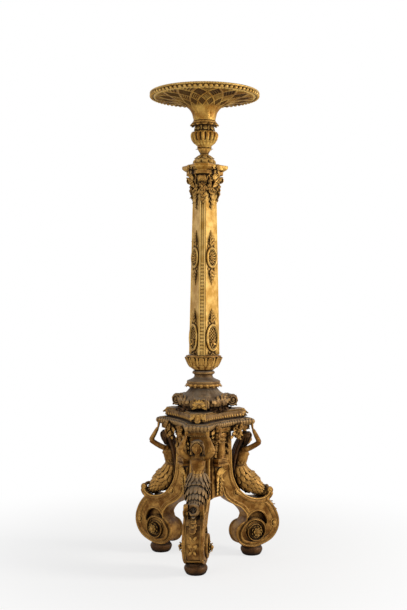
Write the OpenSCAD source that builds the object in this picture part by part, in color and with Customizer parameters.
// Torchere candle stand: a carved and gilt three-sided stand for a candlestick.
// The origin is on the floor, on the stand's axis, with +Z up. The front leg lies along -Y,
// and the other two legs are a third of a turn to each side of it.

/* [Dish] */
// Outer radius of the dish's rim
dish_r = 200; // [160:1:250]
// Width of the rim moulding and of its beads
rim_w = 13; // [10:0.5:16]
// Height of the rim moulding
rim_h = 18; // [16:1:24]
// Thickness of the top board
board_t = 12; // [8:1:15]
// Beads round the rim
bead_count = 66; // [48:1:76]

/* [Trumpet] */
// Height of the flared trumpet
trumpet_h = 87; // [70:1:120]
// Radius of the trumpet's neck
trumpet_neck_r = 40; // [34:1:48]
// Lozenges of the basket weave round the trumpet
lozenge_count = 16; // [10:1:20]
// Rows of lozenges from neck to rim
lozenge_rows = 6; // [4:1:7]
// Relief of the widest lozenges
lozenge_relief = 5; // [2:0.5:7]

/* [Upper baluster] */
// Height of the curled collar ring
collar_h = 17; // [13:1:22]
// Outer radius of the collar ring
collar_r = 50.5; // [46:0.5:60]
// Height of the reeded neck
neck_h = 20; // [14:1:28]
// Radius of the reeded neck
neck_r = 33; // [28:1:38]
// Reeds round the neck
neck_reeds = 12; // [8:1:16]
// Height of the fluted urn
urn_h = 62; // [52:1:75]
// Greatest radius of the urn
urn_r = 48; // [42:1:56]
// Flutes round the urn
urn_flutes = 16; // [10:1:18]
// Height of the leaf calyx
calyx_h = 21; // [16:1:28]
// Outer radius of the calyx leaves
calyx_r = 29; // [24:1:36]
// Radius of the thin neck under the calyx
thin_neck_r = 15.6; // [13:0.2:20]
// Height of the knop
knop_h = 41; // [32:1:50]
// Radius of the knop
knop_r = 40; // [32:1:46]

/* [Capital] */
// Height of the moulded abacus
abacus_h = 24; // [18:1:32]
// Distance from the axis to the abacus's corner ends
abacus_end_r = 84; // [76:1:100]
// Width of the abacus's corner ends
abacus_end_w = 50; // [40:1:60]
// Height of the frieze block
frieze_h = 12; // [8:1:18]
// Radius of a corner volute
volute_r = 15; // [11:1:18]
// Width of a corner volute
volute_w = 24; // [16:1:30]
// Blooms along one festoon
festoon_blooms = 9; // [7:2:11]
// Sag of a festoon
festoon_sag = 30; // [15:1:45]

/* [Stem] */
// Height of the stem
stem_h = 650; // [520:5:800]
// Distance from the axis to a wide face at the stem's foot
stem_face_r = 37.5; // [33:0.5:40]
// Distance from the axis to a corner face at the stem's foot
stem_corner_r = 51; // [48:0.5:54]
// Stem's thickness at the top as a share of that at the foot
stem_taper = 0.72; // [0.6:0.01:0.95]
// Width of a corner strip at the stem's foot
strip_w = 24; // [16:0.5:25]
// Thickness of a corner strip's rails
strip_t = 7; // [5:0.5:9]
// Rungs in the ladder on the lower part of a strip
rung_count = 26; // [10:1:32]
// Height of the upper medallions' centres above the stem's foot
upper_medallion_z = 351; // [280:1:400]
// Width of an upper medallion
upper_medallion_w = 62; // [50:1:66]
// Height of an upper medallion
upper_medallion_h = 76; // [60:1:110]
// Height of the lower medallions' centres above the stem's foot
lower_medallion_z = 62; // [56:1:120]
// Width of a lower medallion
lower_medallion_w = 74; // [60:1:78]
// Height of a lower medallion
lower_medallion_h = 100; // [80:1:110]
// Thickness of a medallion's frame
medallion_t = 8; // [6:0.5:10]

/* [Lower baluster] */
// Height of the acanthus cup
cup_h = 58; // [48:1:72]
// Radius of the cup's lip
cup_r = 60; // [60:0.5:68]
// Leaves round the cup
cup_leaves = 12; // [8:1:16]
// Height of the turned neck with its ring and ogee disc
lower_neck_h = 44; // [36:1:56]
// Radius of the ogee disc
ogee_r = 61; // [54:1:70]
// Height of the leaf collar
leaf_collar_h = 15; // [12:1:20]
// Outer radius of the leaf collar
leaf_collar_r = 66; // [60:1:76]
// Leaves round the leaf collar
collar_leaves = 18; // [12:1:24]

/* [Cushion] */
// Height of the scroll cushion
cushion_h = 73; // [64:1:84]
// Radius of a cushion roll
roll_r = 22; // [16:0.5:23]
// Length of a cushion roll
roll_w = 60; // [44:1:78]
// Distance from the axis to a roll's own axis
roll_pos = 98; // [94:1:116]
// Height of a roll's axis above the cushion's underside
roll_z = 24; // [23:1:32]
// Height of the drum between cushion and platform
recess_h = 8; // [5:1:14]
// Radius of that drum
recess_r = 78; // [66:1:88]

/* [Platform] */
// Height of the upper block
block_h = 36; // [28:1:46]
// Distance from the axis to the block's ends
block_end_r = 158; // [140:1:180]
// Width of the block's ends
block_end_w = 48; // [40:1:64]
// Height of the leaf-moulded edge
edge_h = 26; // [20:1:34]
// Distance from the axis to the edge's ends
edge_end_r = 187; // [170:1:210]
// Width of the edge's ends
edge_end_w = 83; // [70:1:96]
// Height of the fascia under the edge
fascia_h = 17; // [12:1:24]
// Distance from the axis to the fascia's ends
fascia_end_r = 173; // [155:1:195]
// Width of the fascia's ends
fascia_end_w = 55; // [46:1:70]

/* [Base] */
// Height of the legs, from the feet to the platform
leg_rise = 425; // [360:5:500]
// Distance from the axis to the outermost point of a leg
leg_reach = 290; // [250:1:330]
// Width of a leg
leg_w = 67; // [56:1:80]
// Width of the horn that each side of a leg ends in above the volute
leg_cheek_w = 13; // [9:0.5:18]
// Distance from the axis to the core's faces that carry the legs
core_leg_r = 61; // [56:1:66]
// Distance from the axis to the core's faces between the legs
core_face_r = 66; // [62:1:70]
// Height of the core
core_h = 232; // [190:1:260]
// Height of a baluster between the legs
baluster_h = 117; // [96:1:140]
// Width of a baluster's base
baluster_w = 60; // [48:1:64]
// Radius of a baluster's shaft
baluster_r = 20; // [16:0.5:24]
// Height of the shell pendant under a baluster
pendant_h = 118; // [90:1:130]
// Radius of a bun foot
foot_r = 40.5; // [34:0.5:48]
// Height of a bun foot
foot_h = 40; // [30:1:52]

/* [Carving] */
// Radius of the volute's eye, where the rosette sits
eye_r = 27; // [22:1:30]
// Height that a volute rosette stands proud of the leg
rosette_h = 31; // [20:1:36]
// Depth of the crescent recess in a leg's side
crescent_depth = 20; // [8:1:25]
// Depth of the spiral groove in a volute
spiral_depth = 5; // [2:0.5:8]
// Height of a figure's chin above the leg's foot end
chin_h = 369; // [340:1:380]
// Radius of a figure's head
head_r = 22.5; // [17:0.5:24]
// Distance from the axis to a figure's elbows
elbow_pos = 198; // [186:1:214]
// Distance of an elbow from the leg's middle plane
elbow_spread = 57; // [50:1:66]

/* [Joinery] */
// Radius of the iron rod in the upper baluster
rod_r = 5; // [4:0.5:7]
// Radius of the stem's dowel
dowel_r = 14; // [10:1:18]
// Radius of a leg dowel
leg_dowel_r = 6; // [4:0.5:9]
// Length of a leg dowel
leg_dowel_l = 52; // [40:1:60]
// Radius of the spigot on a foot
spigot_r = 12; // [8:0.5:16]
// Length of the spigot on a foot
spigot_h = 30; // [15:1:35]
// Clearance round rods, dowels and spigots
fit = 0.25; // [0.1:0.05:0.5]

/* [Hidden] */

gold = "#c08a3e";
pale_gold = "#d8a75a";
dark_gold = "#8a6030";
dusty = "#7d6b50";
brown = "#55402a";
iron = "#4a4a4c";
wood = "#a98357";

// Bearings of the three legs and of the three faces between them
front = -90;
right = 30;
left = 150;
face_right = -30;
face_back = 90;
face_left = 210;
leg_bearings = [front, right, left];
face_bearings = [face_right, face_back, face_left];

// Heights of the joints between the pieces, from the floor up
z_leg = foot_h;
z_fascia = z_leg + leg_rise;
z_edge = z_fascia + fascia_h;
z_block = z_edge + edge_h;
z_recess = z_block + block_h;
z_cushion = z_recess + recess_h;
z_leaf_collar = z_cushion + cushion_h;
z_lower_neck = z_leaf_collar + leaf_collar_h;
z_cup = z_lower_neck + lower_neck_h;
z_stem = z_cup + cup_h;
z_frieze = z_stem + stem_h;
z_abacus = z_frieze + frieze_h;
z_knop = z_abacus + abacus_h;
z_calyx = z_knop + knop_h;
z_urn = z_calyx + calyx_h;
z_neck = z_urn + urn_h;
z_collar = z_neck + neck_h;
z_trumpet = z_collar + collar_h;
z_dish = z_trumpet + trumpet_h;

face_tilt = atan(stem_face_r * (1 - stem_taper) / stem_h);
corner_tilt = atan(stem_corner_r * (1 - stem_taper) / stem_h);
board_r = dish_r - rim_w;
upper_medallion_size = [upper_medallion_w, upper_medallion_h];
lower_medallion_size = [lower_medallion_w, lower_medallion_h];
rod_z0 = z_frieze - 60;
rod_z1 = z_trumpet + trumpet_h / 2;
dowel_z0 = z_cushion + 10;
dowel_z1 = z_stem + 80;
edge_mid_r = 100;
block_mid_r = 84;
fascia_mid_r = 92;
leg_base_reach = 226; // reach of the leg's outline as it is drawn, from the core
leg_base_rise = 430; // and its height
leg_dowel_rises = [270, 385];

// ---- Curves and plans ----

// Point on a smooth curve between p1 and p2
function blend(p0, p1, p2, p3, t) =
    0.5 * (2 * p1 + (p2 - p0) * t + (2 * p0 - 5 * p1 + 4 * p2 - p3) * t * t
    + (3 * p1 - p0 - 3 * p2 + p3) * t * t * t);

// Smooth curve through knots, with n steps between two knots
function smooth(knots, n = 4) = let (last = len(knots) - 1) [
    for (i = [0:last - 1]) for (j = [0:n - 1])
        blend(knots[max(i - 1, 0)], knots[i], knots[i + 1], knots[min(i + 2, last)], j / n),
    knots[last]
];

function polar(r, a) = [r * cos(a), r * sin(a)];

// Corner of a six-sided plan, between a side at distance r1 and bearing a and the next at r2
function plan_corner(r1, r2, a) =
    r1 * polar(1, a) + (r2 - r1 / 2) / sin(60) * polar(1, a + 90);

// Triangle with cut corners: wide sides at face_r from the axis, corner sides at corner_r
function cut_triangle(face_r, corner_r) = [
    for (a = face_bearings) each [
        plan_corner(face_r, corner_r, a), plan_corner(corner_r, face_r, a + 60)
    ]
];

// Distance from the axis to the centre of a concave side's arc
function side_centre(end_r, end_w, mid_r) =
    let (x = end_r / 2 + end_w / 2 * sin(60), y = end_r * sin(60) - end_w / 4)
    (x * x + y * y - mid_r * mid_r) / (2 * (x - mid_r));

// Solid turned about the axis from a profile of [radius, height] knots
module turned(knots, n = 4) {
    curve = smooth(knots, n);
    rotate_extrude()
        polygon(concat([[0, curve[0][1]]], curve, [[0, curve[len(curve) - 1][1]]]));
}

// Plate with three arms and concave sides. The outline gives its moulding as
// [distance in from the edge, height] points from the underside up.
module armed_plate(end_r, end_w, mid_r, h, outline) {
    arc_c = side_centre(end_r, end_w, mid_r);
    arc_r = arc_c - mid_r;
    first = outline[0];
    last = outline[len(outline) - 1];
    over = 1;
    reach = 5;
    lap = 0.05; // the sides' steps lie this much above the ends', as a mitre made by hand does
    cut = concat([[first[0], -2 * over]], [for (p = outline) [p[0], p[1] + lap]],
        [[last[0], h + 2 * over]]);
    intersection() {
        difference() {
            translate([0, 0, -over]) linear_extrude(h + 2 * over)
                polygon(cut_triangle(end_r / 2 + end_w / 2 * sin(60) + reach, end_r + reach));
            for (a = face_bearings) rotate([0, 0, a]) translate([arc_c, 0, 0]) rotate_extrude()
                polygon(concat([[0, -2 * over]], [for (p = cut) [arc_r + p[0], p[1]]],
                    [[0, h + 2 * over]]));
        }
        // The ends are the mitred crossing of three bars
        intersection_for (a = leg_bearings) rotate([0, 0, a]) rotate([90, 0, 0])
            linear_extrude(2 * end_r, center = true)
                polygon(concat([[-end_r, 0]], [for (p = outline) [end_r - p[0], p[1]]],
                    [[-end_r, h]]));
    }
}

// Flat spiral band from radius r0 to r1
module spiral_band(r0, r1, turns, w) {
    steps = round(turns * 20);
    function r(i) = r0 + (r1 - r0) * i / steps;
    function a(i) = -360 * turns * i / steps;
    polygon(concat(
        [for (i = [0:steps]) polar(r(i) + w / 2, a(i))],
        [for (i = [steps:-1:0]) polar(r(i) - w / 2, a(i))]));
}

// Stands a flat [across, up] outline on edge: it faces outward, and thickness runs along +X
module on_edge(t) rotate([90, 0, 90]) linear_extrude(t) children();

// Lays a [radius, height] outline in the leg's plane, w thick about the middle
module in_leg_plane(w) rotate([90, 0, 0]) linear_extrude(w, center = true) children();

module ball(p, r) translate(p) sphere(r = r, $fn = 10);

module limb(p, q, r1, r2) hull() {
    ball(p, r1);
    ball(q, r2);
}

module leaf(p, q, r1, r2) hull() {
    translate(p) sphere(r = r1, $fn = 6);
    translate(q) sphere(r = r2, $fn = 8);
}

// Grooves cut down a bulging body whose profile is an arc about [c_r, c_z]
module flute_cuts(count, c_r, c_z, arc_r, groove_r, from, to) {
    for (i = [0:count - 1]) rotate([0, 0, 360 * (i + 0.5) / count])
        translate([c_r, 0, c_z]) rotate([90, 0, 0])
            rotate_extrude(angle = to - from, start = from) translate([arc_r, 0])
                circle(r = groove_r);
}

// ---- Dish ----

module rod_bore() translate([0, 0, rod_z0 - 1])
    cylinder(r = rod_r + fit, h = rod_z1 - rod_z0 + 2);

module dish_board() color(gold) translate([0, 0, z_dish]) cylinder(r = board_r, h = board_t);

module rim_beading() color(pale_gold) translate([0, 0, z_dish]) {
    r = rim_w / 2;
    bead_z = r - 2; // a bead dips a little under the board
    ring_r = dish_r - r;
    rotate_extrude() polygon([
        [board_r, 0], [ring_r - r / 2, 0], [ring_r, bead_z], [dish_r - 2, rim_h * 0.6],
        [dish_r, rim_h * 0.7], [dish_r, rim_h * 0.85], [dish_r - 3, rim_h],
        [board_r + 4, rim_h], [board_r, board_t]
    ]);
    for (i = [0:bead_count - 1]) rotate([0, 0, 360 * i / bead_count])
        translate([ring_r, 0, bead_z]) sphere(r = r);
}

// The trumpet's profile, from the neck at t = 0 to the rim at t = 1
trumpet_ease = 2.4;
trumpet_bend = 2.6;
trumpet_lift = 0.12;
function trumpet_profile(t) =
    let (x = pow(t, trumpet_ease), bend = pow(1 - pow(1 - x, trumpet_bend), 1 / trumpet_bend))
    [
        trumpet_neck_r + (board_r - trumpet_neck_r) * x,
        trumpet_h * ((1 - trumpet_lift) * bend + trumpet_lift * x)
    ];

module dish_trumpet() {
    cols = 4 * lozenge_count;
    rows = 4 * lozenge_rows;
    step = 0.01;
    function part(x) = x - floor(x);
    function raised(i, j) = j == 0 || j == rows ? 0 :
        sin(180 * part((i + j) / 4)) * sin(180 * part((i - j) / 4 + cols));
    function point(i, j) =
        let (
            t = j / rows, p = trumpet_profile(t),
            d = trumpet_profile(min(t + step, 1)) - trumpet_profile(max(t - step, 0)),
            out = [d[1], -d[0]] / norm(d),
            q = p + out * lozenge_relief * raised(i, j) * p[0] / board_r,
            xy = polar(q[0], 360 * i / cols))
        [xy[0], xy[1], j == rows ? trumpet_h : q[1]];
    function at(i, j) = j * cols + i % cols;
    points = [for (j = [0:rows]) for (i = [0:cols - 1]) point(i, j)];
    sides = [for (j = [0:rows - 1]) for (i = [0:cols - 1])
        each (i + j) % 2 == 0
            ? [[at(i, j), at(i, j + 1), at(i + 1, j + 1)], [at(i, j), at(i + 1, j + 1), at(i + 1, j)]]
            : [[at(i, j), at(i, j + 1), at(i + 1, j)], [at(i, j + 1), at(i + 1, j + 1), at(i + 1, j)]]
    ];
    foot = [[for (i = [0:cols - 1]) at(i, 0)]];
    top = [[for (i = [cols - 1:-1:0]) at(i, rows)]];
    color(gold) difference() {
        translate([0, 0, z_trumpet]) polyhedron(points, concat(sides, foot, top));
        rod_bore();
    }
}

// ---- Upper baluster ----

module collar_ring() color(gold) difference() {
    translate([0, 0, z_collar]) turned([
        [neck_r, 0], [neck_r + 4, collar_h * 0.12], [collar_r - 5, collar_h * 0.1],
        [collar_r, collar_h * 0.4], [collar_r - 1, collar_h * 0.68],
        [trumpet_neck_r + 4, collar_h * 0.82], [trumpet_neck_r, collar_h]
    ]);
    for (i = [0:11]) rotate([0, 0, 30 * i]) translate([collar_r + 2, 0, z_collar - 1])
        cylinder(r = 5, h = collar_h + 2);
    rod_bore();
}

module urn_neck() color(gold) difference() {
    reed_r = neck_r * sin(180 / neck_reeds);
    translate([0, 0, z_neck]) linear_extrude(neck_h) {
        circle(r = neck_r - reed_r);
        for (i = [0:neck_reeds - 1]) rotate([0, 0, 360 * i / neck_reeds])
            translate([neck_r - reed_r, 0]) circle(r = reed_r * 1.04);
    }
    rod_bore();
}

module fluted_urn() color(gold) {
    foot_z = 11;
    lip_z = urn_h - 6;
    foot_w = 27;
    bulge_z = lip_z - 3;
    // The arc stands upright at the bulge and runs down to the foot
    arc_r = (pow(urn_r - foot_w, 2) + pow(bulge_z - foot_z, 2)) / (2 * (urn_r - foot_w));
    difference() {
        translate([0, 0, z_urn]) {
            rotate_extrude() intersection() {
                translate([urn_r - arc_r, bulge_z]) circle(r = arc_r);
                translate([0, foot_z]) square([urn_r + 1, lip_z - foot_z]);
            }
            turned([[24, 0], [27, 3], [25, 7], [foot_w, foot_z + 0.5]]);
            translate([0, 0, lip_z - 0.5])
                turned([[urn_r - 3, 0], [urn_r - 2, 2], [neck_r + 5, 4.5], [neck_r + 2, 6.5]]);
        }
        translate([0, 0, z_urn])
            flute_cuts(urn_flutes, urn_r - arc_r, bulge_z, arc_r + 1, 3.2, -44, 2);
        rod_bore();
    }
}

module urn_calyx() color(dark_gold) difference() {
    leaves = 8;
    translate([0, 0, z_calyx]) turned([
        [thin_neck_r, 0], [thin_neck_r + 0.5, calyx_h * 0.25], [20, calyx_h * 0.55],
        [calyx_r, calyx_h * 0.82], [calyx_r - 1.5, calyx_h * 0.94], [24, calyx_h]
    ]);
    for (i = [0:leaves - 1]) rotate([0, 0, 360 * i / leaves])
        translate([calyx_r + 1, 0, z_calyx + calyx_h / 2]) cylinder(r = 5, h = calyx_h / 2 - 1);
    rod_bore();
}

module knop() color(gold) difference() {
    translate([0, 0, z_knop]) turned([
        [knop_r - 2, 0], [knop_r - 0.5, knop_h * 0.06], [knop_r, knop_h * 0.22],
        [knop_r - 1.5, knop_h * 0.38], [knop_r - 4, knop_h * 0.5], [knop_r * 0.75, knop_h * 0.64],
        [knop_r * 0.55, knop_h * 0.76], [thin_neck_r + 2, knop_h * 0.87], [thin_neck_r, knop_h]
    ]);
    rod_bore();
}

// ---- Capital ----

abacus_cyma = 16; // how far the cyma under the abacus draws in

module abacus() color(gold) difference() {
    translate([0, 0, z_abacus]) armed_plate(abacus_end_r, abacus_end_w, abacus_end_r * 0.72,
        abacus_h, [
            [abacus_cyma, 0], [abacus_cyma - 2, 3], [6, 8], [3, 12], [0, 13],
            [0, abacus_h - 3], [2, abacus_h]
        ]);
    rod_bore();
}

module capital_frieze() color(dark_gold) difference() {
    inset = abacus_cyma + 1;
    translate([0, 0, z_frieze]) armed_plate(abacus_end_r - inset, abacus_end_w * 0.86,
        abacus_end_r * 0.72 - inset + 4, frieze_h, [[2, 0], [0, 2], [0, frieze_h]]);
    rod_bore();
}

// Axis of a volute, as distance from the stand's axis and height
volute_centre = [abacus_end_r - abacus_cyma - volute_r + 6, z_frieze - volute_r];

module volute_bodies() for (a = leg_bearings) rotate([0, 0, a])
    in_leg_plane(volute_w) translate(volute_centre) circle(r = volute_r);

module capital_volutes() color(dark_gold) difference() {
    centre_r = volute_centre[0];
    centre_z = volute_centre[1];
    union() {
        volute_bodies();
        for (a = leg_bearings) rotate([0, 0, a]) {
            // Neck that joins the scroll to the stem's corner
            translate([centre_r - volute_r, -volute_w * 0.4, centre_z - volute_r * 0.4])
                cube([volute_r, volute_w * 0.8, volute_r * 1.4]);
            for (s = [-1, 1]) translate([centre_r, s * volute_w / 2, centre_z]) sphere(r = 5);
        }
    }
    for (a = leg_bearings, s = [-1, 1]) rotate([0, 0, a])
        translate([centre_r, s * volute_w / 2, centre_z]) in_leg_plane(4)
            spiral_band(7, volute_r - 2, 1.2, 2);
    stem_envelope();
}

module capital_festoons() color(dark_gold) difference() {
    top_z = z_frieze - 2 * volute_r - 9;
    drop_r = stem_corner_r * stem_taper + strip_t + 5;
    half = (festoon_blooms - 1) / 2;
    union() {
        for (a = face_bearings) rotate([0, 0, a]) {
            // The swag hangs between two corners, across the wide face
            for (i = [-half:half]) {
                u = i / half;
                translate([stem_face_r * stem_taper + 5 + 7 * u * u, 30 * u,
                    top_z - festoon_sag * (1 - u * u)]) sphere(r = 8.5 - abs(i) % 2);
            }
            for (i = [0:3]) translate([stem_face_r * stem_taper + 4, 0,
                top_z - festoon_sag - 8 * (i + 1)]) sphere(r = 7.5 - 0.9 * i);
        }
        // Under each volute hangs a bloom with a tapering drop
        for (a = leg_bearings) rotate([0, 0, a]) for (i = [0:5])
            translate([drop_r, 0, top_z - 12 * i]) sphere(r = 12 - 1.1 * i);
    }
    stem_envelope();
    volute_bodies();
}

// ---- Stem ----

module face_cut(r, tilt) translate([r, 0, z_stem]) rotate([0, -tilt, 0])
    translate([0, -2 * r, -stem_h / 10]) cube([2 * r, 4 * r, stem_h * 1.3]);

module stem_block(extra = 0) difference() {
    translate([0, 0, z_stem]) cylinder(r = stem_corner_r * 1.5, h = stem_h);
    for (a = face_bearings) rotate([0, 0, a]) face_cut(stem_face_r + extra, face_tilt);
    for (a = leg_bearings) rotate([0, 0, a]) face_cut(stem_corner_r + extra, corner_tilt);
}

// Shaft and strips together, as what is carved over the stem's top has to clear them
module stem_envelope() {
    stem_block();
    for (a = leg_bearings) on_corner(a, 0) on_edge(strip_t) strip_outline();
}

// Places a piece on a wide face of the stem, at height z above the stem's foot
module on_face(a, z) rotate([0, 0, a]) translate([stem_face_r, 0, z_stem])
    rotate([0, -face_tilt, 0]) translate([0, 0, z]) children();

module on_corner(a, z) rotate([0, 0, a]) translate([stem_corner_r, 0, z_stem])
    rotate([0, -corner_tilt, 0]) translate([0, 0, z]) children();

strip_l = stem_h * cos(corner_tilt) - strip_t * sin(corner_tilt);

module strip_outline(share = 1) polygon([
    [-strip_w / 2 * share, 0], [strip_w / 2 * share, 0],
    [strip_w / 2 * stem_taper * share, strip_l], [-strip_w / 2 * stem_taper * share, strip_l]
]);

module stem_shaft() color(gold) difference() {
    stem_block();
    translate([0, 0, z_stem - 1]) cylinder(r = dowel_r + fit, h = dowel_z1 - z_stem + 2);
    rod_bore();
}

// Corner strip with a rail down each side and, on its lower part, a ladder of rungs
module stem_strip(a) color(pale_gold) on_corner(a, 0) {
    rungs_l = strip_l * 0.52;
    rail_share = 0.62;
    on_edge(strip_t * 0.55) strip_outline();
    difference() {
        on_edge(strip_t) strip_outline();
        translate([strip_t / 2, 0, 0]) on_edge(strip_t) strip_outline(rail_share);
    }
    for (i = [0:rung_count - 1]) {
        z = 14 + (rungs_l - 14) * i / rung_count;
        w = strip_w * (rail_share + 0.1) * (1 - (1 - stem_taper) * z / strip_l);
        translate([0, -w / 2, z]) cube([strip_t * 0.8, w, rungs_l / rung_count * 0.5]);
    }
}

module oval(size) scale([size[0] / size[1], 1]) circle(r = size[1] / 2);

module medallion_frame(size) {
    rail = 7;
    ground = 3;
    difference() {
        on_edge(medallion_t) oval(size);
        translate([ground, 0, 0]) on_edge(medallion_t) oval(size - [2 * rail, 2 * rail]);
    }
}

// The upper medallion holds an open rosette
module upper_medallion(a) color(dark_gold) on_face(a, upper_medallion_z) {
    petals = 8;
    petal_r = 8;
    medallion_frame(upper_medallion_size);
    for (i = [0:petals - 1]) rotate([360 * i / petals, 0, 0])
        translate([0, 0, petal_r * 1.7]) rotate([0, 90, 0]) cylinder(r = petal_r * 0.62, h = 6);
    rotate([0, 90, 0]) cylinder(r = petal_r, h = 7);
}

// The lower medallion holds a lattice
module lower_medallion(a) color(pale_gold) on_face(a, lower_medallion_z) {
    bar = 3;
    pitch = 15;
    medallion_frame(lower_medallion_size);
    intersection() {
        on_edge(6) oval(lower_medallion_size - [10, 10]);
        for (s = [-1, 1], i = [-4:4]) rotate([s * 35, 0, 0])
            translate([0, i * pitch - bar / 2, -lower_medallion_size[1]])
                cube([6, bar, 2 * lower_medallion_size[1]]);
    }
}

// ---- Lower baluster ----

module stem_cup() color(gold) {
    foot_w = 30;
    bulge_z = cup_h * 0.86;
    arc_r = (pow(cup_r - foot_w, 2) + pow(bulge_z, 2)) / (2 * (cup_r - foot_w));
    difference() {
        translate([0, 0, z_cup]) rotate_extrude() intersection() {
            translate([cup_r - arc_r, bulge_z]) circle(r = arc_r);
            square([cup_r + 1, cup_h]);
        }
        translate([0, 0, z_cup])
            flute_cuts(cup_leaves, cup_r - arc_r, bulge_z, arc_r + 1, 3.5, -50, 20);
        dowel_bore();
    }
}

module dowel_bore() translate([0, 0, dowel_z0])
    cylinder(r = dowel_r + fit, h = dowel_z1 - dowel_z0 + 1);

module lower_neck() color(gold) difference() {
    h = lower_neck_h;
    ring_r = 40.5;
    translate([0, 0, z_lower_neck]) turned([
        [ogee_r - 1, 0], [ogee_r, h * 0.1], [ogee_r - 3, h * 0.2], [ogee_r * 0.75, h * 0.32],
        [36, h * 0.45], [33, h * 0.63], [36, h * 0.72], [ring_r, h * 0.79],
        [ring_r, h * 0.9], [ring_r - 4, h]
    ]);
    dowel_bore();
}

module leaf_collar() color(dark_gold) difference() {
    h = leaf_collar_h;
    translate([0, 0, z_leaf_collar]) turned([
        [50, 0], [leaf_collar_r - 8, h * 0.2], [leaf_collar_r, h * 0.52],
        [leaf_collar_r - 3, h * 0.8], [ogee_r - 1, h]
    ]);
    for (i = [0:collar_leaves - 1]) rotate([0, 0, 360 * i / collar_leaves])
        translate([leaf_collar_r + 2, 0, z_leaf_collar - 1]) cylinder(r = 5, h = h + 2);
    dowel_bore();
}

// ---- Cushion ----

module roll_body(gap = 0) translate([roll_pos, 0, z_cushion + roll_z])
    in_leg_plane(roll_w + 2 * gap) circle(r = roll_r + gap);

module scroll_cushion() color(dusty) difference() {
    lobe_w = roll_w * 0.9;
    h = cushion_h;
    union() {
        translate([0, 0, z_cushion]) turned([
            [recess_r - 2, 0], [recess_r + 8, h * 0.12], [recess_r + 11, h * 0.3],
            [recess_r + 4, h * 0.5], [67, h * 0.68], [54, h * 0.84], [49, h * 0.92], [50, h]
        ]);
        // A lobe reaches out to each roll
        for (a = leg_bearings) rotate([0, 0, a]) translate([0, 0, z_cushion]) in_leg_plane(lobe_w)
            polygon(concat([[40, 2], [roll_pos - roll_r * 0.4, 2], [roll_pos, roll_z - roll_r]],
                smooth([[roll_pos, roll_z + roll_r * 0.95], [roll_pos - 14, roll_z + roll_r * 0.85],
                    [roll_pos - 30, h * 0.64], [60, h * 0.76]]),
                [[40, h * 0.8]]));
    }
    for (a = leg_bearings) rotate([0, 0, a]) roll_body(fit);
    dowel_bore();
}

module cushion_roll(a) color(dusty) rotate([0, 0, a]) difference() {
    roll_body();
    for (s = [-1, 1]) translate([roll_pos, s * roll_w / 2, z_cushion + roll_z])
        in_leg_plane(2 * spiral_depth) spiral_band(4, roll_r - 3, 1.5, 2.5);
}

module recess_drum() color(brown) translate([0, 0, z_recess]) linear_extrude(recess_h) {
    circle(r = recess_r);
    for (i = [0:23]) rotate([0, 0, 15 * i]) translate([recess_r, 0]) circle(r = 7);
}

// ---- Platform ----

module platform_block() color(dark_gold) translate([0, 0, z_block])
    armed_plate(block_end_r, block_end_w, block_mid_r, block_h,
        [[5, 0], [5, 4], [0, 8], [0, block_h - 9], [3, block_h - 7], [3, block_h]]);

module platform_edge() color(dusty) translate([0, 0, z_edge])
    armed_plate(edge_end_r, edge_end_w, edge_mid_r, edge_h,
        [[12, 0], [10, 4], [3, 7.5], [0, 13], [1.5, 19], [7, 23], [8, edge_h]]);

module platform_fascia() color(dark_gold) translate([0, 0, z_fascia])
    armed_plate(fascia_end_r, fascia_end_w, fascia_mid_r, fascia_h,
        [[5, 0], [5, 4], [0, 6], [0, fascia_h]]);

// ---- Core ----

module core_block() translate([0, 0, z_fascia - core_h])
    linear_extrude(core_h) polygon(cut_triangle(core_face_r, core_leg_r));

module core() color(brown) difference() {
    union() {
        core_block();
        translate([0, 0, z_fascia - core_h - 24])
            turned([[0, 0], [22, 3], [38, 12], [46, 24], [46, 24.5]]);
    }
    leg_dowel_bores();
}

module leg_dowel_bores() for (a = leg_bearings, rise = leg_dowel_rises) rotate([0, 0, a])
    translate([core_leg_r - leg_dowel_l / 2 - 1, 0, z_leg + rise * leg_rise / leg_base_rise])
        rotate([0, 90, 0]) cylinder(r = leg_dowel_r + fit, h = leg_dowel_l + 2);

module baluster(a) color(gold) difference() {
    z0 = z_fascia - baluster_h;
    base_h = 25;
    centre_r = core_face_r + 8;
    r = baluster_r;
    rotate([0, 0, a]) {
        for (s = [[0, 7, 0], [7, 10, 4], [17, 8, 1]]) translate([core_face_r - 4, 0, z0 + s[0]])
            translate([0, -baluster_w / 2 + s[2], 0]) cube([30 - s[2], baluster_w - 2 * s[2], s[1]]);
        translate([centre_r, 0, z0 + base_h - 0.5]) turned([
            [r + 3, 0], [r - 1, 8], [r, 30], [r - 2, 52], [r + 2, 57], [r - 2, 62],
            [r + 3, 68], [r - 1, 74], [r + 4, 82], [r + 2, baluster_h - base_h + 0.5]
        ], 3);
    }
    core_block();
}

// Scallop shell over a tapering drop of leaves
module pendant(a) color(dark_gold) difference() {
    ribs = 5;
    spread = 24;
    shell_h = 44;
    z1 = z_fascia - baluster_h;
    r = core_face_r;
    union() rotate([0, 0, a]) {
        for (i = [0:ribs - 1]) {
            u = 2 * i / (ribs - 1) - 1;
            leaf([r + 4, 7 * u, z1 - shell_h], [r + 13 - 6 * u * u, spread * u, z1 - 9 - 9 * u * u], 4, 8);
        }
        for (i = [0:2], s = [-1, 1]) {
            z = z1 - shell_h - 20 * i;
            leaf([r + 2, s * (18 - 4 * i), z], [r + 6, 0, z - 14], 5, 7);
        }
        leaf([r + 2, 0, z1 - shell_h], [r, 0, z1 - pendant_h + 5], 9, 4);
    }
    core_block();
}

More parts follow.
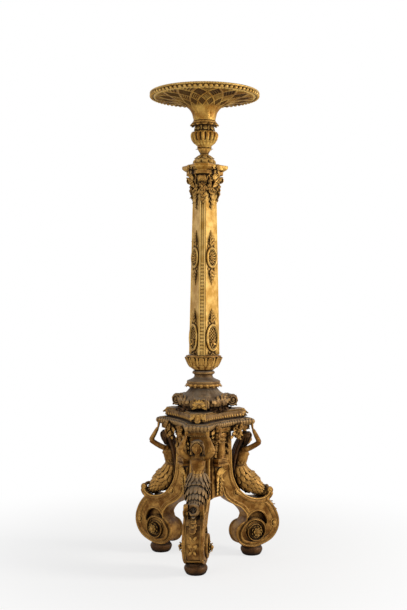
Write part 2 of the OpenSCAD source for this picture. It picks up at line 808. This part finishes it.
// Two clusters of blooms under the platform, beside the face at bearing a
module garland(a) color(pale_gold) difference() {
    blooms = 9;
    rotate([0, 0, a]) for (s = [-1, 1], i = [0:blooms - 1]) {
        wave = [5, -5, 1][i % 3];
        translate([edge_mid_r + 16 + wave / 2, s * (72 + wave), z_edge + 8 - 10.5 * i])
            sphere(r = 12 - 0.4 * i);
    }
    translate([0, 0, -0.01]) {
        platform_edge();
        platform_fascia();
    }
}

// ---- Legs ----

// Turns a point of the leg's outline, measured from the core and the foot, into radius and height
function leg_point(p) = [
    core_leg_r + p[0] * (leg_reach - core_leg_r) / leg_base_reach,
    z_leg + p[1] * leg_rise / leg_base_rise
];

leg_upper_edge = [
    [34, 430], [36, 380], [38, 310], [44, 262], [63, 220], [94, 189], [128, 175],
    [161, 174], [182, 184], [190, 198]
];
leg_outer_edge = [
    [198, 196], [190, 178], [183, 166], [197, 150], [212, 128], [223, 102], [226, 78],
    [222, 56], [209, 33], [189, 16], [161, 4], [131, -3], [99, 0], [74, 13], [62, 35],
    [61, 58], [71, 77], [90, 89]
];
leg_inner_edge = [
    [100, 100], [98, 116], [86, 133], [72, 146], [54, 155], [26, 174], [8, 196], [0, 222]
];
leg_horn = [192, 201];
leg_horn_r = 8;
leg_tail_gap = [150, 160]; // inner lower corner of the gap between the horns
eye = leg_point([132, 53]);
crescent = leg_point([139, 86]);
crescent_r = 40;
spiral_reach = 15; // how far the spiral reaches round the eye
foot_pos = leg_point([133, 0])[0];

module leg_outline() {
    polygon([
        for (edge = [leg_upper_edge, leg_outer_edge, leg_inner_edge]) each
            [for (p = smooth(edge)) leg_point(p)],
        leg_point([0, leg_base_rise])
    ]);
}

// Leg before it is carved: flat where it stands on its foot, and cut away between the horns,
// where the figure's tail lies
module leg_blank(w = leg_w) difference() {
    horn = leg_point(leg_horn);
    gap = leg_point(leg_tail_gap);
    union() {
        in_leg_plane(w) leg_outline();
        translate([horn[0], 0, horn[1]]) rotate([90, 0, 0])
            cylinder(r = leg_horn_r, h = w, center = true);
    }
    translate([0, -leg_w, 0]) cube([leg_reach + 20, 2 * leg_w, z_leg]);
    translate([gap[0], -leg_w / 2 + leg_cheek_w, gap[1]])
        cube([leg_reach, leg_w - 2 * leg_cheek_w, leg_rise]);
}

module leg(a) color(gold) rotate([0, 0, a]) difference() {
    leg_blank();
    // Crescent between the upper limb and the volute, sunk from both sides
    for (s = [-1, 1]) translate([0, s * leg_w / 2, 0]) in_leg_plane(2 * crescent_depth)
        difference() {
            translate(crescent) circle(r = crescent_r);
            translate(eye) circle(r = eye_r + spiral_reach + 4);
        }
    // Spiral round the eye
    for (s = [-1, 1]) translate([0, s * leg_w / 2, 0]) in_leg_plane(2 * spiral_depth)
        translate(eye) rotate([0, 0, 60]) spiral_band(eye_r + 3, eye_r + spiral_reach - 2, 1, 4);
    // Sunk panel down the outer face of the volute
    in_leg_plane(leg_w * 0.72) intersection() {
        difference() {
            leg_outline();
            translate([-4, 0]) leg_outline();
        }
        translate([leg_reach - 50, z_leg + 20]) square([60, 120]);
    }
    translate([foot_pos, 0, z_leg - 1]) cylinder(r = spigot_r + fit, h = spigot_h + 2);
    rotate([0, 0, -a]) leg_dowel_bores();
}

// Rosettes on both eyes of a leg, and the small ones on its band
module leg_rosettes(a) color(dark_gold) rotate([0, 0, a])
    for (s = [0, 1]) mirror([0, s, 0]) translate([0, leg_w / 2, 0]) {
        translate([eye[0], 0, eye[1]]) rotate([-90, 0, 0]) {
            petals = 6;
            turned([[eye_r - 1, 0], [eye_r - 2, 4], [eye_r * 0.7, 8], [eye_r * 0.4, rosette_h - 10]]);
            for (i = [0:petals - 1]) rotate([0, 0, 360 * i / petals])
                translate([eye_r * 0.52, 0, rosette_h - 14]) sphere(r = eye_r * 0.3);
            translate([0, 0, rosette_h - eye_r * 0.3]) sphere(r = eye_r * 0.3);
        }
        for (p = [[208, 78], [58, 202]]) {
            q = leg_point(p);
            petal_r = 3.5;
            translate([q[0], 0, q[1]]) rotate([-90, 0, 0]) {
                cylinder(r = 11, h = 2.5);
                for (i = [0:5]) rotate([0, 0, 60 * i])
                    translate([6.5, 0, petal_r + 0.3]) sphere(r = petal_r);
                translate([0, 0, petal_r + 1]) sphere(r = petal_r);
            }
        }
    }

// ---- Figures ----

// Caryatid on a leg: raised arms hold the platform's edge, and the leafy skirt ends in a
// tail that curls between the leg's horns
module figure(a) {
    z = z_leg + chin_h * leg_rise / leg_base_rise;
    hand_z = z_edge + 2;
    out = (leg_reach - core_leg_r) / leg_base_reach;
    // Point beside the chin: r from the core, t across and dz up
    function at(r, t, dz) = [core_leg_r + r * out, t, z + dz];
    head = at(108, 0, head_r + 2);
    spine = [
        [at(76, 0, -66), 24], [at(84, 0, -99), 32], [at(100, 0, -128), 37],
        [at(124, 0, -138), 38], [at(150, 0, -156), 26], [at(172, 0, -170), 16],
        [at(190, 0, -178), 12], [at(194, 0, -200), 8]
    ];
    color(pale_gold) rotate([0, 0, a]) difference() {
        union() {
            hull() {
                translate(at(87, 0, -25)) scale([1.4, 1.25, 1]) sphere(r = 22, $fn = 12);
                translate(at(87, 0, -62)) scale([1.45, 1.1, 1]) sphere(r = 20, $fn = 12);
            }
            limb(at(90, -22, -14), at(90, 22, -14), 11, 11);
            for (s = [-1, 1]) {
                elbow = [elbow_pos, s * elbow_spread, z + 14];
                wrist = [edge_end_r - 6, s * 38, hand_z - 12];
                limb(at(110, s * 11, -28), at(106, s * 11, -36), 9, 10);
                limb(at(92, s * 28, -13), elbow, 9.5, 7);
                limb(elbow, wrist, 7, 5);
                limb(wrist, [edge_end_r - 10, s * 36, hand_z + 6], 6, 6);
            }
            limb(at(96, 0, -12), at(104, 0, 6), 10, 10);
            translate(head) scale([1, 0.88, 1.12]) sphere(r = head_r, $fn = 12);
            translate(head - [6, 0, -5]) scale([0.95, 1.1, 1]) sphere(r = head_r, $fn = 10);
            limb(head + [head_r - 3, 0, 2], head + [head_r + 0.5, 0, -5], 2, 3);
            // Skirt and tail, one swelling after another down the leg's curve
            for (i = [1:len(spine) - 1])
                limb(spine[i - 1][0], spine[i][0], spine[i - 1][1], spine[i][1]);
            // Leaves of the skirt
            for (i = [-2:2])
                limb(at(96 - 3 * abs(i), 11 * i, -74), at(150 - 10 * abs(i), 15 * i, -128), 5, 9);
        }
        leg_blank();
        rotate([0, 0, -a]) platform_edge();
    }
}

// ---- Feet ----

module foot(a) color(brown) rotate([0, 0, a]) translate([foot_pos, 0, 0]) {
    turned([
        [foot_r * 0.72, 0], [foot_r * 0.86, foot_h * 0.12], [foot_r, foot_h * 0.45],
        [foot_r * 0.97, foot_h * 0.66], [foot_r * 0.84, foot_h * 0.84], [foot_r * 0.8, foot_h]
    ]);
    translate([0, 0, foot_h - 1]) cylinder(r = spigot_r, h = spigot_h + 1);
}

// ---- Joinery ----

module upper_rod() color(iron) translate([0, 0, rod_z0])
    cylinder(r = rod_r, h = rod_z1 - rod_z0);

module stem_dowel() color(wood) translate([0, 0, dowel_z0])
    cylinder(r = dowel_r, h = dowel_z1 - dowel_z0);

module leg_dowels() color(wood) for (a = leg_bearings, rise = leg_dowel_rises) rotate([0, 0, a])
    translate([core_leg_r - leg_dowel_l / 2, 0, z_leg + rise * leg_rise / leg_base_rise])
        rotate([0, 90, 0]) cylinder(r = leg_dowel_r, h = leg_dowel_l);

dish_board();
rim_beading();
dish_trumpet();
collar_ring();
urn_neck();
fluted_urn();
urn_calyx();
knop();
abacus();
capital_frieze();
capital_volutes();
capital_festoons();
stem_shaft();
stem_strip(front);  // stem_strip_front
stem_strip(right);  // stem_strip_right
stem_strip(left);  // stem_strip_left
upper_medallion(face_right);  // upper_medallion_right
upper_medallion(face_back);  // upper_medallion_back
upper_medallion(face_left);  // upper_medallion_left
lower_medallion(face_right);  // lower_medallion_right
lower_medallion(face_back);  // lower_medallion_back
lower_medallion(face_left);  // lower_medallion_left
stem_cup();
lower_neck();
leaf_collar();
scroll_cushion();
cushion_roll(front);  // cushion_roll_front
cushion_roll(right);  // cushion_roll_right
cushion_roll(left);  // cushion_roll_left
recess_drum();
platform_block();
platform_edge();
platform_fascia();
core();
baluster(face_right);  // baluster_right
baluster(face_back);  // baluster_back
baluster(face_left);  // baluster_left
pendant(face_right);  // pendant_right
pendant(face_back);  // pendant_back
pendant(face_left);  // pendant_left
garland(face_right);  // garland_right
garland(face_back);  // garland_back
garland(face_left);  // garland_left
leg(front);  // leg_front
leg(right);  // leg_right
leg(left);  // leg_left
leg_rosettes(front);  // leg_rosettes_front
leg_rosettes(right);  // leg_rosettes_right
leg_rosettes(left);  // leg_rosettes_left
figure(front);  // figure_front
figure(right);  // figure_right
figure(left);  // figure_left
foot(front);  // foot_front
foot(right);  // foot_right
foot(left);  // foot_left
upper_rod();
stem_dowel();
leg_dowels();
